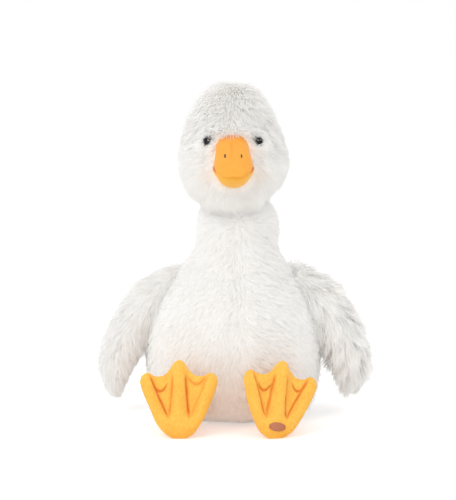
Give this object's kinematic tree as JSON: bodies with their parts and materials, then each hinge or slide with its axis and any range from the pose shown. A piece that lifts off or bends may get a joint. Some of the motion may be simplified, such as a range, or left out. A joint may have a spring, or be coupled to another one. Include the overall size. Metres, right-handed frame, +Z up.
{
  "type": "plush goose",
  "caption": "Seated soft toy goose of shaggy white pile, with padded wings, domed eyes, a stuffed bill and upright webbed feet.",
  "frame": {"origin": "centre of the flat seat that the goose rests on, on the floor", "axes": "+Z up, the goose faces -Y, and its left side is at +X"},
  "size_m": [0.2727, 0.2394, 0.3296],
  "materials": {
    "white_pile": "long soft pile",
    "orange_velour": "short brushed nap",
    "eye_plastic": "gloss black",
    "washer_plastic": "plain moulded",
    "black_thread": "matt thread",
    "brown_thread": "satin stitch"
  },
  "bodies": {
    "root": {"torso": "white_pile", "head": "white_pile", "left_wing": "white_pile", "right_wing": "white_pile", "tail": "white_pile", "upper_bill": "orange_velour", "lower_bill": "orange_velour", "left_leg": "orange_velour", "right_leg": "orange_velour", "left_foot": "orange_velour", "right_foot": "orange_velour", "left_eye": "eye_plastic", "right_eye": "eye_plastic", "left_eye_washer": "washer_plastic", "right_eye_washer": "washer_plastic", "left_nostril": "black_thread", "right_nostril": "black_thread", "sole_patch": "brown_thread"}
  },
  "joints": []
}
